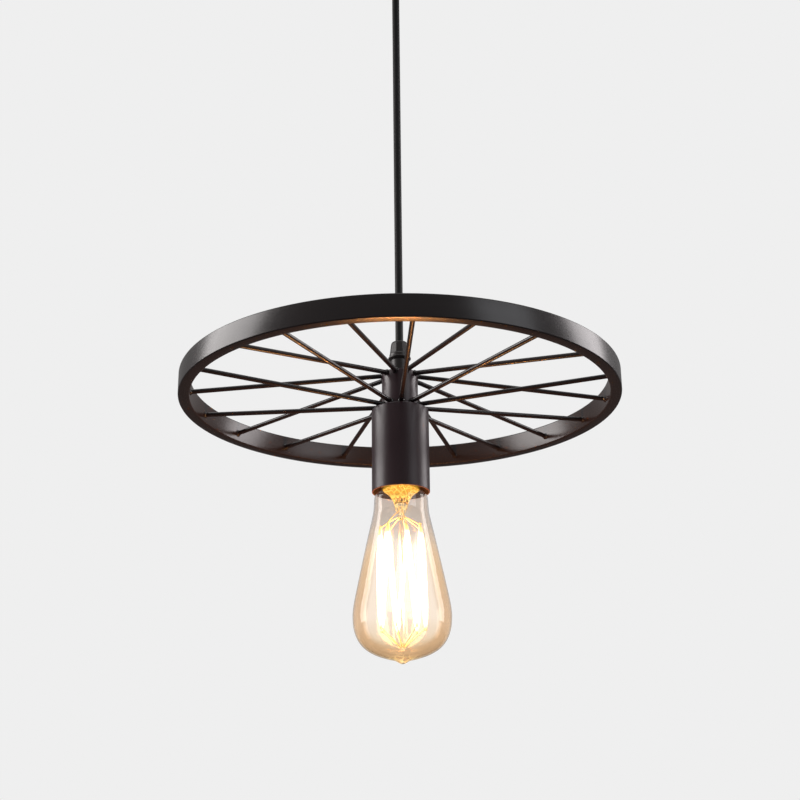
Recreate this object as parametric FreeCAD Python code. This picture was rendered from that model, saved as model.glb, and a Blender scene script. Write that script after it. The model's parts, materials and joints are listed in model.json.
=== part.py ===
import FreeCAD, Part
import math
import os

# Wagon wheel pendant lamp. Millimetres, +Z up.
# Origin: on the ceiling plane, on the lamp's axis. The camera side is -Y.

V = FreeCAD.Vector

# ---------------------------------------------------------------- dimensions
wheel_z = -390.0          # middle plane of the wheel, below the ceiling

rim_r = 150.0             # outside radius of the rim
rim_t = 7.8               # radial thickness of the rim tube
rim_h = 15.2              # height of the rim tube
rim_wall = 1.2
rim_edge = 0.8            # outer edge radius of the rim tube

spoke_r = 1.6
spoke_hub_up = 12.4       # height of an upper spoke at the hub, from the wheel plane
spoke_hub_low = -9.2
spoke_rim_z = -1.4        # height of every spoke where it meets the rim
# direction of each spoke, degrees from -Y towards +X
upper_angles = [20.5, 58.5, 94.5, 130.5, 163.0, 198.0, 237.0, 274.5, 312.5, 346.5]
lower_angles = [3.5, 38.5, 76.5, 112.5, 148.0, 181.0, 218.0, 255.5, 292.5, 328.5]

hub_r = 12.3
hub_wall = 1.4
hub_top = 14.0
hub_bottom = -12.3

cup_r = 19.4
cup_wall = 1.0
cup_bottom = -70.3        # mouth of the cup
cup_edge = 1.2            # radius of the cup's upper edge

thread_r = 5.0            # M10 x 1 nipple
thread_bore = 3.6
nipple_top = 22.0
nipple_bottom = -24.6

grip_base_r = 5.9
grip_ring_r = 7.8
grip_ring_z = 24.8
cap_z0 = 26.1
cap_r0 = 7.0
cap_r1 = 5.45
cap_top = 37.5

cord_r = 2.7
cord_end = 18.0           # the jacket stops here, inside the nipple

canopy_r = 50.0
canopy_h = 25.0
canopy_wall = 1.0
canopy_edge = 4.0
bush_r = 7.0
bush_bottom = -41.0
pivot_z = -38.0           # the point that the cord swings about
screw_x = 36.0            # canopy screws
slot_x = 23.0
slot_len = 14.0
slot_r = 2.3
bracket_l = 84.0
bracket_w = 18.0
bracket_t = 1.5

bulb_cap_rim = -66.0      # lower edge of the bulb's cap
bulb_cap_r = 12.9
bulb_tip = -184.1
holder_r = 16.5
holder_bottom = -63.0
shell_in = 13.45
shell_out = 13.9
glass_t = 0.9
# outside of the glass: radius, height
glass_outer = [(11.8, -56.0), (11.85, -62.0), (12.3, -66.4), (14.2, -68.4), (16.5, -71.0), (17.75, -74.5), (18.05, -80.0),
               (18.95, -87.0), (22.5, -103.0), (26.9, -123.5), (30.95, -143.0), (31.95, -150.0), (32.1, -155.0),
               (31.4, -161.5), (29.1, -168.0), (24.9, -173.4), (18.6, -177.4), (11.2, -180.1), (5.7, -181.6),
               (3.2, -182.8), (1.6, -183.8), (0.0, bulb_tip)]

W = wheel_z


# ------------------------------------------------------------------- helpers
def pt(r, z):
    return V(r, 0, z)


def lathe(profile, shift=0.0):
    """Turn a closed profile of (r, z) points about Z. A point with four numbers ends an arc: (mid r, mid z, r, z)."""
    edges = []
    here = profile[0][-2:]
    for item in list(profile[1:]) + [profile[0][-2:]]:
        end = item[-2:]
        a, b = pt(here[0], here[1] + shift), pt(end[0], end[1] + shift)
        if (b - a).Length > 1e-7:
            if len(item) == 4:
                edges.append(Part.Arc(a, pt(item[0], item[1] + shift), b).toShape())
            else:
                edges.append(Part.makeLine(a, b))
        here = end
    face = Part.Face(Part.Wire(edges))
    return solid(face.revolve(V(0, 0, 0), V(0, 0, 1), 360))


def solid(shape):
    if shape.ShapeType == "Solid":
        out = shape
    else:
        out = shape.Solids[0] if len(shape.Solids) == 1 else shape
    if out.Volume < 0:
        out = out.reversed()
    return out


def cyl(r, z0, z1, x=0.0, y=0.0, shift=0.0):
    return Part.makeCylinder(r, z1 - z0, V(x, y, z0 + shift), V(0, 0, 1))


def ring(ro, ri, z0, z1, x=0.0, y=0.0, shift=0.0):
    return cyl(ro, z0, z1, x, y, shift).cut(cyl(ri, z0 - 1, z1 + 1, x, y, shift))


def box(x0, x1, y0, y1, z0, z1):
    return Part.makeBox(x1 - x0, y1 - y0, z1 - z0, V(x0, y0, z0))


def hexagon(flats, z0, z1, shift=0.0):
    r = flats / 2 / math.cos(math.pi / 6)
    pts = [V(r * math.cos(math.radians(60 * i + 30)), r * math.sin(math.radians(60 * i + 30)), z0 + shift) for i in range(6)]
    return Part.Face(Part.makePolygon(pts + [pts[0]])).extrude(V(0, 0, z1 - z0))


def rod(a, b, r):
    a, b = V(*a), V(*b)
    return Part.makeCylinder(r, (b - a).Length, a, b - a)


def around(deg, r, z):
    """A point at radius r in the direction deg from -Y towards +X."""
    a = math.radians(deg)
    return (r * math.sin(a), -r * math.cos(a), z)


def tube(points, r):
    """Straight runs joined by tangent arcs, each as large as its two runs allow, with a round section."""
    p = [V(*q) for q in points]
    edges, here, radii = [], p[0], []
    for i in range(1, len(p) - 1):
        u = (p[i] - p[i - 1]).normalize()
        w = (p[i + 1] - p[i]).normalize()
        turn = u.getAngle(w)
        cut = 0.45 * min((p[i] - p[i - 1]).Length, (p[i + 1] - p[i]).Length)
        rad = cut / math.tan(turn / 2)
        radii.append(round(rad, 1))
        a, b = p[i] - u * cut, p[i] + w * cut
        side = (w - u).normalize()
        centre = p[i] + side * (rad / math.cos(turn / 2))
        mid = centre - side * rad
        edges.append(Part.makeLine(here, a))
        edges.append(Part.Arc(a, mid, b).toShape())
        here = b
    edges.append(Part.makeLine(here, p[-1]))
    path = Part.Wire(edges)
    start = (p[1] - p[0]).normalize()
    section = Part.Wire([Part.makeCircle(r, p[0], start)])
    out = solid(path.makePipeShell([section], True, True, 2))
    print("tube", radii, round(out.Volume / (math.pi * r * r * path.Length), 4))
    return out


nodes = {}


def keep(name, shapes):
    if not isinstance(shapes, (list, tuple)):
        shapes = [shapes]
    solids = []
    for s in shapes:
        solids += s.Solids
    nodes[name] = solids


# ------------------------------------------------------------- ceiling parts
strip = box(-bracket_l / 2, bracket_l / 2, -bracket_w / 2, bracket_w / 2, -bracket_t, 0)
corners = [e for e in strip.Edges if abs(e.Vertexes[0].Z - e.Vertexes[-1].Z) > 1]
strip = strip.makeFillet(4.0, corners)
tab = box(-9, 9, 8, 33, -bracket_t, 0)
tab = tab.makeFillet(3.0, [e for e in tab.Edges if abs(e.Vertexes[0].Z - e.Vertexes[-1].Z) > 1 and e.CenterOfMass.y > 28])
bracket = strip.fuse(tab).removeSplitter()
for s in (-1, 1):
    half = slot_len / 2 - slot_r
    c = s * slot_x
    slot = box(c - half, c + half, -slot_r, slot_r, -3, 1)
    slot = slot.fuse([cyl(slot_r, -3, 1, c - half), cyl(slot_r, -3, 1, c + half)])
    bracket = bracket.cut(slot)
    bracket = bracket.cut(cyl(2.02, -3, 1, s * screw_x))
bracket = bracket.cut(cyl(2.02, -3, 1, 10.5, 0))
bracket = bracket.cut(cyl(1.52, -3, 1, 0, 30.0))
keep("ceiling_bracket", bracket)

e = canopy_edge
k = e * (1 - math.sqrt(0.5))
ci = canopy_r - canopy_wall
ei = e - canopy_wall
ki = ei * (1 - math.sqrt(0.5))
canopy = lathe([
    (5.1, -canopy_h), (canopy_r - e, -canopy_h), (canopy_r - k, -canopy_h + k, canopy_r, -canopy_h + e),
    (canopy_r, -0.3), (ci, -0.3), (ci, -canopy_h + e), (ci - ki, -canopy_h + canopy_wall + ki, ci - ei, -canopy_h + canopy_wall),
    (5.1, -canopy_h + canopy_wall)])
for s in (-1, 1):
    canopy = canopy.cut(cyl(2.2, -canopy_h - 2, -canopy_h + 3, s * screw_x))
keep("canopy", canopy)

screws = []
for s in (-1, 1):
    head = lathe([(0, -canopy_h), (4.0, -canopy_h), (4.0, -canopy_h - 1.2), (3.2, -canopy_h - 2.25, 1.6, -canopy_h - 2.7), (0, -canopy_h - 2.7)])
    head = head.cut(box(-5, 5, -0.5, 0.5, -canopy_h - 3, -canopy_h - 1.6))
    one = head.fuse(cyl(2.0, -canopy_h, -0.3)).removeSplitter()
    one.translate(V(s * screw_x, 0, 0))
    screws.append(one)
keep("canopy_screws", screws)

# bush: threaded neck through the canopy, body below it with a bell mouth about the swing point
bush = lathe([
    (bush_r - 1.2, bush_bottom), (bush_r - 0.35, bush_bottom + 0.35, bush_r, bush_bottom + 1.2),
    (bush_r, -canopy_h - 3.0), (8.6, -canopy_h - 2.2), (8.6, -canopy_h), (thread_r, -canopy_h), (thread_r, -18.0),
    (2.8, -18.0), (2.8, pivot_z + 2.6), (3.25, pivot_z + 1.2), (3.25, pivot_z - 0.2), (5.15, bush_bottom)])
bush = bush.cut(Part.makeCylinder(1.52, 8, V(0, -9, -31.5), V(0, 1, 0)))
keep("canopy_grip", bush)
keep("canopy_grip_nut", hexagon(14.0, -24.0, -21.0).cut(cyl(thread_r + 0.02, -25, -20)))
grub = Part.makeCylinder(1.5, bush_r - 0.6 - cord_r, V(0, -(bush_r - 0.6), -31.5), V(0, 1, 0))
grub = grub.cut(box(-2, 2, -bush_r, -bush_r + 1.5, -31.8, -31.2))
keep("canopy_grip_screw", grub.cut(cyl(cord_r, -40, -20)))

# cord: the part gripped in the bush, the bending part at the swing point, and the hanging run
clear = Part.makeSphere(2.9, V(0, 0, pivot_z))
keep("cord_tail", cyl(cord_r, pivot_z, -17.0).cut(clear))
keep("cord_bend", Part.makeSphere(2.6, V(0, 0, pivot_z)))
keep("pendant_cord", cyl(cord_r, W + cord_end, pivot_z).cut(clear))

# terminal block under the bracket's tab: screw terminals for the lamp's leads on the near side, and spring
# terminals for the building's wires beyond the tab's end, open upwards and seen through from below, with release
# slots in the far end
block = box(-12, 12, 22, 39, -13.0, -bracket_t)
lead_x = (-7.0, 0.0, 7.0)
for i, x in enumerate(lead_x):
    block = block.cut(Part.makeCylinder(2.35 if i == 2 else 1.6, 6, V(x, 22 - 1, -7.0), V(0, 1, 0)))
    block = block.cut(cyl(1.6, -14, 0, x, 35.6))
    block = block.cut(box(x - 1.5, x + 1.5, 38.1, 40, -9.6, -8.4))
    block = block.cut(cyl(1.6, -14, -9.0, x, 25.0))
block = block.cut(cyl(1.55, -14, 0, 0, 30.0))
block = block.cut(cyl(2.9, -14, -10.8, 0, 30.0))
keep("terminal_block", block)
keep("terminal_screws", [cyl(1.5, -12.4, -9.4, x, 25.0).cut(box(x - 2, x + 2, 24.75, 25.25, -12.6, -11.8)) for x in lead_x])
keep("block_screw", cyl(1.5, -12.0, -0.2, 0, 30.0).fuse(cyl(2.8, -12.6, -10.8, 0, 30.0)).removeSplitter())
keep("earth_screw", cyl(2.0, -4.0, -0.2, 10.5, 0).fuse(lathe([(0, -bracket_t), (3.6, -bracket_t), (3.6, -3.2), (2.9, -4.0), (0, -4.0)]).translated(V(10.5, 0, 0))).removeSplitter())


def lead(x0, y0, x1, z1=-7.0):
    return [(x0, y0, -16.8), (x0, y0, -12.0), (x0 * 1.1 + 0.05 * x1, y0 + 3.0, z1 - 1.3), (x1 * 0.55, 11.5, z1 + 0.4),
            (x1 * 0.96, 18.0, z1 + 0.1), (x1, 25.5, z1)]


keep("ceiling_lead_live", tube(lead(-1.25, -0.7, -7.0), 1.0))
keep("ceiling_lead_neutral", tube(lead(0.0, 1.4, 0.0, -7.2), 1.0))
keep("ceiling_lead_earth", tube(lead(1.25, -0.7, 5.9), 1.0))
keep("earth_link_lead", tube([(8.15, 25.5, -7.0), (8.3, 18.5, -7.0), (9.4, 13.0, -6.0), (10.4, 8.2, -5.6), (10.5, 4.6, -3.6)], 0.95))

# ---------------------------------------------------------------- lamp: hub
keep("hub_tube", ring(hub_r, hub_r - hub_wall, hub_bottom, hub_top, shift=W))
keep("hub_top_disc", ring(hub_r - hub_wall, thread_r + 0.1, hub_top - 2.0, hub_top, shift=W))
keep("hub_bottom_disc", ring(hub_r - hub_wall, thread_r + 0.1, hub_bottom, hub_bottom + 2.0, shift=W))
keep("threaded_nipple", ring(thread_r, thread_bore, nipple_bottom, nipple_top, shift=W))

g0 = hub_top
keep("grip_body", lathe([
    (thread_r + 0.03, g0), (grip_base_r, g0), (grip_base_r, grip_ring_z - 1.0), (grip_ring_r - 0.5, grip_ring_z - 0.2),
    (grip_ring_r, grip_ring_z + 0.3), (grip_ring_r, cap_z0 - 0.4), (grip_ring_r - 0.4, cap_z0),
    (4.9, cap_z0), (4.9, 33.0), (4.1, 33.0), (3.9, 26.0), (2.95, 24.6), (2.95, 23.4), (4.0, 22.2), (thread_r + 0.03, 22.2)], W))
keep("grip_insert", lathe([
    (cord_r + 0.1, 26.4), (3.7, 26.4), (3.85, 33.2), (4.8, 33.4), (4.6, 34.4), (3.5, 35.3), (cord_r + 0.1, 35.3)], W))
# tapered cap with a ten-sided grip face
cap = lathe([
    (cap_r0, cap_z0), (cap_r0, cap_z0 + 2.2), (cap_r1 + 0.35, cap_top - 2.2), (cap_r1 - 0.25, cap_top - 0.55, cap_r1 - 1.6, cap_top),
    (2.95, cap_top), (2.95, 36.1), (5.0, 34.8), (4.95, cap_z0)], W)
for i in range(10):
    cutter = box(cap_r0 * math.cos(math.radians(18)) + 0.05, 12, -6, 6, W + cap_z0 + 2.2, W + cap_top + 1)
    cutter.rotate(V(0, 0, W + cap_z0 + 2.2), V(0, 1, 0), -7.6)
    cutter.rotate(V(0, 0, 0), V(0, 0, 1), 36 * i + 18)
    cap = cap.cut(cutter)
keep("grip_cap", cap)

# ------------------------------------------------------------ spokes and rim
inner_r = rim_r - rim_t
between = ring(inner_r, hub_r, -40, 40, shift=W)


def spokes(angles, z_hub):
    out = []
    for a in angles:
        slope = (spoke_rim_z - z_hub) / (inner_r - hub_r)
        p0 = around(a, hub_r - 4, W + z_hub - 4 * slope)
        p1 = around(a, inner_r + 4, W + spoke_rim_z + 4 * slope)
        out.append(rod(p0, p1, spoke_r).common(between).Solids[0])
    return out


up = spokes(upper_angles, spoke_hub_up)
low = spokes(lower_angles, spoke_hub_low)
keep("upper_spokes", up)
keep("lower_spokes", low)


def tube_section(ro, ri, h, q):
    qk = q * (1 - math.sqrt(0.5))
    return lathe([
        (ri + q, -h), (ro - q, -h), (ro - qk, -h + qk, ro, -h + q), (ro, h - q), (ro - qk, h - qk, ro - q, h),
        (ri + q, h), (ri + qk, h - qk, ri, h - q), (ri, -h + q), (ri + qk, -h + qk, ri + q, -h)], W)


rim = tube_section(rim_r, inner_r, rim_h / 2, rim_edge)
rim = rim.cut(tube_section(rim_r - rim_wall, inner_r + rim_wall, rim_h / 2 - rim_wall, 0.3))
keep("rim", rim)

beads = []
for a, rod_solid in list(zip(upper_angles, up)) + list(zip(lower_angles, low)):
    r_bead = 2.5 + 0.25 * math.sin(a * 1.7)
    ball = Part.makeSphere(r_bead, V(*around(a, inner_r + 0.4, W + spoke_rim_z)))
    beads.append(ball.common(cyl(inner_r, -20, 20, shift=W)).cut(rod_solid).Solids[0])
keep("rim_weld_beads", beads)

outside_hub = ring(30, hub_r, -30, hub_top + 0.0, shift=W)
beads = []
for a, rod_solid, z in [(a, s, spoke_hub_up) for a, s in zip(upper_angles, up)] + [(a, s, spoke_hub_low) for a, s in zip(lower_angles, low)]:
    ball = Part.makeSphere(2.3, V(*around(a, hub_r - 0.3, W + z)))
    beads.append(ball.common(outside_hub).cut(rod_solid).Solids[0])
keep("hub_weld_beads", beads)

# --------------------------------------------------------- cup and lampholder
c = cup_edge
ck = c * (1 - math.sqrt(0.5))
keep("cup", lathe([
    (thread_r + 0.1, hub_bottom), (cup_r - c, hub_bottom), (cup_r - ck, hub_bottom - ck, cup_r, hub_bottom - c),
    (cup_r, cup_bottom + 0.3), (cup_r - 0.3, cup_bottom), (cup_r - cup_wall + 0.2, cup_bottom), (cup_r - cup_wall, cup_bottom + 0.2),
    (cup_r - cup_wall, hub_bottom - 1.4), (cup_r - cup_wall - 0.2, hub_bottom - 1.2), (thread_r + 0.1, hub_bottom - 1.2)], W))
z = hub_bottom - 1.2
keep("cup_lock_washer", ring(8.8, thread_r + 0.1, z - 0.8, z, shift=W))
keep("cup_nut", hexagon(14.0, z - 3.8, z - 0.8, W).cut(cyl(thread_r + 0.02, -30, 0, shift=W)))

keep("lampholder_cap", lathe([
    (thread_r + 0.03, -18.5), (7.6, -18.5), (7.6, -22.5), (15.2, -24.0), (16.2, -24.5, 16.5, -25.6), (16.5, -31.0), (15.0, -31.0),
    (15.0, -25.6), (7.6, -24.2), (thread_r + 0.03, -24.2)], W))
body = lathe([
    (0, -31.0), (holder_r, -31.0), (holder_r, holder_bottom + 0.8), (holder_r - 0.8, holder_bottom), (14.9, holder_bottom),
    (14.0, holder_bottom + 0.9), (14.0, -35.6), (0, -35.6)], W)
for x in (-8.5, 8.5):
    body = body.cut(cyl(1.52, -37, -30, x, 0, W))
body = body.cut(cyl(2.6, -37, -30, 0, 9.5, W))
keep("lampholder_body", body)
keep("lampholder_screw_shell", lathe([
    (shell_in, -61.6), (shell_out, -61.6), (shell_out, -35.6), (9.9, -35.6), (9.9, -36.0), (shell_in, -36.0)], W))
# centre contact: a brass tongue on the floor of the bore, bent down to the middle
tongue = [(-8.0, -35.65), (-6.0, -35.65), (-2.2, -38.2), (2.4, -38.2), (2.4, -38.7), (-2.4, -38.7), (-6.2, -36.15), (-8.0, -36.15)]
wire = Part.makePolygon([V(x, -2.4, W + z) for x, z in tongue + tongue[:1]])
keep("lampholder_centre_contact", Part.Face(wire).extrude(V(0, 4.8, 0)).cut(cyl(1.55, -40, -30, -8.5, 0, W)).common(cyl(9.6, -40, -30, shift=W)))
keep("lampholder_terminal_screws", [
    cyl(1.5, -35.5, -31.0, x, 0, W).fuse(cyl(3.0, -31.0, -29.0, x, 0, W)).cut(box(x - 4, x + 4, -0.3, 0.3, W - 29.7, W - 28.0)).removeSplitter()
    for x in (-8.5, 8.5)])


keep("lamp_lead_live", tube([(-1.3, -0.75, W + 17.6), (-1.3, -0.75, W - 24.0), (-3.2, -0.75, W - 27.2), (-5.45, -0.6, W - 28.3)], 1.0))
keep("lamp_lead_neutral", tube([(1.3, -0.75, W + 17.6), (1.3, -0.75, W - 24.0), (3.2, -0.75, W - 27.2), (5.45, -0.6, W - 28.3)], 1.0))
keep("lamp_lead_earth", tube([(0, 1.5, W + 17.6), (0, 1.5, W - 23.6), (0, 3.6, W - 26.9), (0, 6.8, W - 28.0), (0, 10.2, W - 28.0)], 1.0))

# ---------------------------------------------------------------------- bulb
keep("bulb_contact", lathe([(0, -41.2), (4.8, -41.2), (4.8, -40.2), (3.8, -39.35, 2.0, -39.0), (0, -39.0)], W))
keep("bulb_insulator", lathe([(0, -41.2), (5.6, -41.2), (9.3, -44.0), (9.3, -45.2), (0, -45.2)], W))
keep("bulb_cap", lathe([
    (9.35, -44.0), (11.4, -44.2), (12.6, -44.8, bulb_cap_r, -46.0), (bulb_cap_r, -62.4), (13.15, -63.0), (13.15, -66.0), (12.75, -66.0),
    (12.75, -63.2), (bulb_cap_r - 0.4, -62.6), (bulb_cap_r - 0.4, -46.2), (11.4, -45.0), (9.35, -44.6)], W))


keep("bulb_cement", lathe([(12.0, -57.5), (12.45, -57.5), (12.45, -62.7), (12.7, -63.3), (12.7, -65.7), (12.35, -65.9), (12.0, -63.0)], W))


def glass_profile():
    """The outside of the glass, and the same curve set in by the wall."""
    outer = Part.BSplineCurve()
    outer.interpolate([pt(r, z + W) for r, z in glass_outer], InitialTangent=V(0, 0, -1), FinalTangent=V(-1, 0, 0))
    inside = []
    n = 46
    first, last = outer.FirstParameter, outer.LastParameter
    for i in range(n + 1):
        u = first + (last - first) * i / n
        p = outer.value(u)
        d = outer.tangent(u)[0]
        normal = V(d.z, 0, -d.x)          # to the axis side
        wall = glass_t * (0.75 + 0.45 * (i / n) ** 6)
        inside.append(p + normal * wall)
    inside = [q for q in inside if q.z > W + bulb_tip + 2.4]
    while inside and inside[-1].x < 2.5:
        inside.pop()
    inside.append(pt(0, W + bulb_tip + 2.6))
    inner_curve = Part.BSplineCurve()
    inner_curve.interpolate(inside, InitialTangent=V(0, 0, -1), FinalTangent=V(-1, 0, 0))
    return outer, inner_curve, inside


outer, inner_curve, inside = glass_profile()
o0, o1 = outer.value(outer.FirstParameter), outer.value(outer.LastParameter)
i0, i1 = inner_curve.value(inner_curve.FirstParameter), inner_curve.value(inner_curve.LastParameter)
wire = Part.Wire([outer.toShape(), Part.makeLine(o1, i1), inner_curve.toShape(), Part.makeLine(i0, o0)])
glass = solid(Part.Face(wire).revolve(V(0, 0, 0), V(0, 0, 1), 360))
keep("bulb_glass", glass)
inside_glass = (i0.x, i0.z - W)

# stem: flare sealed to the neck, press, and the glass rod with its two beads
stem = lathe([
    (0, -66.2), (11.0, -66.2), (12.3, -68.2), (11.0, -69.8), (9.2, -71.2), (7.4, -73.2), (5.6, -76.2), (4.2, -79.4), (3.0, -82.6), (2.2, -85.0),
    (1.2, -85.5), (2.3, -86.1, 2.6, -87.2), (2.4, -88.6, 1.2, -89.6), (1.2, -170.8), (2.3, -172.0, 2.5, -173.2),
    (2.3, -174.6, 1.2, -175.8), (0, -176.4)], W)
keep("bulb_stem", stem)

r_up, z_up = 13.8, -94.0
r_low, z_low = 15.0, -162.0
n_hooks = 7
up_dirs = [360.0 / n_hooks * i + 12 for i in range(n_hooks)]
low_dirs = [d + 180.0 / n_hooks for d in up_dirs]
keep("bulb_upper_supports", [rod((0, 0, W - 87.2), around(d, r_up, W + z_up), 0.3).cut(stem).Solids[0] for d in up_dirs[1:-1]])
keep("bulb_lower_supports", [rod((0, 0, W - 173.2), around(d, r_low, W + z_low), 0.3).cut(stem).Solids[0] for d in low_dirs])
wires = []
for d in (up_dirs[0], up_dirs[-1]):
    one = rod(around(d, 2.4, W - 82.0), around(d, r_up, W + z_up), 0.35).cut(stem)
    wires.append(sorted(one.Solids, key=lambda s: -s.Volume)[0])
keep("bulb_lead_wires", wires)
strands = []
for i in range(n_hooks):
    for j in (i, i - 1):
        a = V(*around(up_dirs[i], r_up, W + z_up))
        b = V(*around(low_dirs[j % n_hooks], r_low, W + z_low))
        if i == 0 and j == -1:
            continue
        u = (b - a).normalize()
        s = 0.45 * (1 if j == i else -1)
        side = V(math.cos(math.radians(up_dirs[i])), math.sin(math.radians(up_dirs[i])), 0) * s
        p, q = a + u * 0.7 + side, b - u * 0.7 - side * 0.6
        strands.append(Part.makeCylinder(0.22, (q - p).Length, p, q - p))
keep("bulb_filament", strands)

# -------------------------------------------------------------------- output
os.makedirs("parts", exist_ok=True)
for name, solids in nodes.items():
    shape = solids[0] if len(solids) == 1 else Part.makeCompound(solids)
    bad = [i for i, s in enumerate(solids) if not s.isValid() or s.Volume <= 0]
    shape.exportStep("parts/%s.step" % name)
    b = shape.BoundBox
    print("%-28s %3d solids %10.1f mm3  z %.2f..%.2f  bad %s" % (name, len(solids), shape.Volume, b.ZMin, b.ZMax, bad))
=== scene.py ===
import json
import math
import random

import bpy
import numpy as np
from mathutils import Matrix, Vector

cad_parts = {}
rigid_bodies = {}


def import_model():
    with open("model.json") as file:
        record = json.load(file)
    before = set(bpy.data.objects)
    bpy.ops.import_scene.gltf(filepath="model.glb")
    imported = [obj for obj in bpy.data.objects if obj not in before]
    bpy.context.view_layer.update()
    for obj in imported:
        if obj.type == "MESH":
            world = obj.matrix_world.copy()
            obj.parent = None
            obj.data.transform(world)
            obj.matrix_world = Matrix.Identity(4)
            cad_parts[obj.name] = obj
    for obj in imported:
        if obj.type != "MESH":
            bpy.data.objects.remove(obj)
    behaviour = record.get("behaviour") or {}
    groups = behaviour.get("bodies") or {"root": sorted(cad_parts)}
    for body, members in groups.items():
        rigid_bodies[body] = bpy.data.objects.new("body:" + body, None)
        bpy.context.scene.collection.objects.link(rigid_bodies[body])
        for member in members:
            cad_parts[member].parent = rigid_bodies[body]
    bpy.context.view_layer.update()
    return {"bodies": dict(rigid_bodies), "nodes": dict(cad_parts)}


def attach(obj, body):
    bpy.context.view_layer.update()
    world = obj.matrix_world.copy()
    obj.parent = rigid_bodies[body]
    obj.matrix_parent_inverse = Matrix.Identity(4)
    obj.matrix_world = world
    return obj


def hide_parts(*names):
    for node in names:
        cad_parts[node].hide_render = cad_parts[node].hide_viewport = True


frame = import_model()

NODES = frame["nodes"]
MM = 0.001
W = -0.390            # middle plane of the wheel
PIVOT = -0.038        # where the cord leaves the canopy grip
scene = bpy.context.scene
rng = random.Random(7)

UPPER = [20.5, 58.5, 94.5, 130.5, 163.0, 198.0, 237.0, 274.5, 312.5, 346.5]
LOWER = [3.5, 38.5, 76.5, 112.5, 148.0, 181.0, 218.0, 255.5, 292.5, 328.5]
RIM_R, RIM_T, RIM_H = 150.0, 7.8, 15.2
HUB_R, HUB_TOP, HUB_BOTTOM = 12.3, 14.0, -12.3
CUP_R, CUP_BOTTOM = 19.4, -70.3
SPOKE_R = 1.6

# ------------------------------------------------------------------- camera
cam_data = bpy.data.cameras.new("camera")
cam = bpy.data.objects.new("camera", cam_data)
scene.collection.objects.link(cam)
DIST, ELEV, ROLL = 0.950, math.radians(20.2), math.radians(-0.62)
cam.location = (0.0, -DIST * math.cos(ELEV), W - DIST * math.sin(ELEV))
look = (Vector((0, 0, W)) - cam.location).normalized()
right = look.cross(Vector((0, 0, 1))).normalized()
up = right.cross(look)
r2 = right * math.cos(ROLL) + up * math.sin(ROLL)
u2 = up * math.cos(ROLL) - right * math.sin(ROLL)
from mathutils import Matrix
rot = Matrix((r2, u2, -look)).transposed()
cam.rotation_euler = rot.to_euler()
cam_data.sensor_width = 36.0
cam_data.sensor_fit = "HORIZONTAL"
cam_data.lens = 36.0 * 1389.0 / 800.0
cam_data.shift_x = 0.0001
cam_data.shift_y = -0.0082
cam_data.clip_start = 0.01
cam_data.clip_end = 60.0
scene.camera = cam


# ---------------------------------------------------------------- materials
class Mat:
    """A small helper round one node material."""

    def __init__(self, name):
        self.m = bpy.data.materials.new(name)
        self.m.use_nodes = True
        self.nt = self.m.node_tree
        self.p = self.nt.nodes["Principled BSDF"]
        self.out = self.nt.nodes["Material Output"]

    def new(self, kind, **values):
        n = self.nt.nodes.new(kind)
        for k, v in values.items():
            setattr(n, k, v)
        return n

    def link(self, a, b):
        self.nt.links.new(a, b)

    def set(self, **values):
        for k, v in values.items():
            self.p.inputs[k.replace("_", " ")].default_value = v
        return self

    def coords(self, scale=(1, 1, 1)):
        t = self.new("ShaderNodeTexCoord")
        m = self.new("ShaderNodeMapping")
        m.inputs["Scale"].default_value = scale
        self.link(t.outputs["Object"], m.inputs["Vector"])
        return m.outputs["Vector"]

    def noise(self, scale, detail=3.0, rough=0.5, stretch=(1, 1, 1)):
        n = self.new("ShaderNodeTexNoise")
        n.inputs["Scale"].default_value = scale
        n.inputs["Detail"].default_value = detail
        n.inputs["Roughness"].default_value = rough
        self.link(self.coords(stretch), n.inputs["Vector"])
        return n.outputs["Fac"]

    def ramp(self, fac, stops):
        r = self.new("ShaderNodeValToRGB")
        els = r.color_ramp.elements
        while len(els) > 1:
            els.remove(els[-1])
        for i, (pos, col) in enumerate(stops):
            e = els[0] if i == 0 else els.new(pos)
            e.position = pos
            e.color = (*col, 1.0)
        self.link(fac, r.inputs["Fac"])
        return r.outputs["Color"]

    def rough_range(self, fac, lo, hi):
        r = self.new("ShaderNodeMapRange")
        r.inputs["To Min"].default_value = lo
        r.inputs["To Max"].default_value = hi
        self.link(fac, r.inputs["Value"])
        self.link(r.outputs["Result"], self.p.inputs["Roughness"])

    def bump(self, *pairs):
        last = None
        for fac, dist, strength in pairs:
            b = self.new("ShaderNodeBump")
            b.inputs["Distance"].default_value = dist
            b.inputs["Strength"].default_value = strength
            self.link(fac, b.inputs["Height"])
            if last is not None:
                self.link(last, b.inputs["Normal"])
            last = b.outputs["Normal"]
        self.link(last, self.p.inputs["Normal"])


def coat_material(name, base_lo, base_hi, r_lo, r_hi, peel=1.0):
    """Satin powder coat: a fine orange peel, faint mottling, slightly uneven gloss."""
    m = Mat(name)
    fine = m.noise(900, 2.0, 0.5)
    mid = m.noise(240, 3.0, 0.55)
    broad = m.noise(22, 4.0, 0.6)
    m.link(m.ramp(broad, [(0.3, base_lo), (0.7, base_hi)]), m.p.inputs["Base Color"])
    m.rough_range(mid, r_lo, r_hi)
    m.bump((mid, 0.00006, 0.35 * peel), (fine, 0.00002, 0.5 * peel))
    m.set(Specular_IOR_Level=0.5)
    return m.m


def metal_material(name, col_lo, col_hi, r_lo, r_hi, scratch=(400, 400, 30), bump=0.2):
    m = Mat(name)
    brushed = m.noise(1.0, 4.0, 0.6, stretch=scratch)
    broad = m.noise(60, 3.0, 0.5)
    m.link(m.ramp(broad, [(0.3, col_lo), (0.7, col_hi)]), m.p.inputs["Base Color"])
    m.rough_range(brushed, r_lo, r_hi)
    m.bump((brushed, 0.00003, bump))
    m.set(Metallic=1.0)
    return m.m


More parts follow.
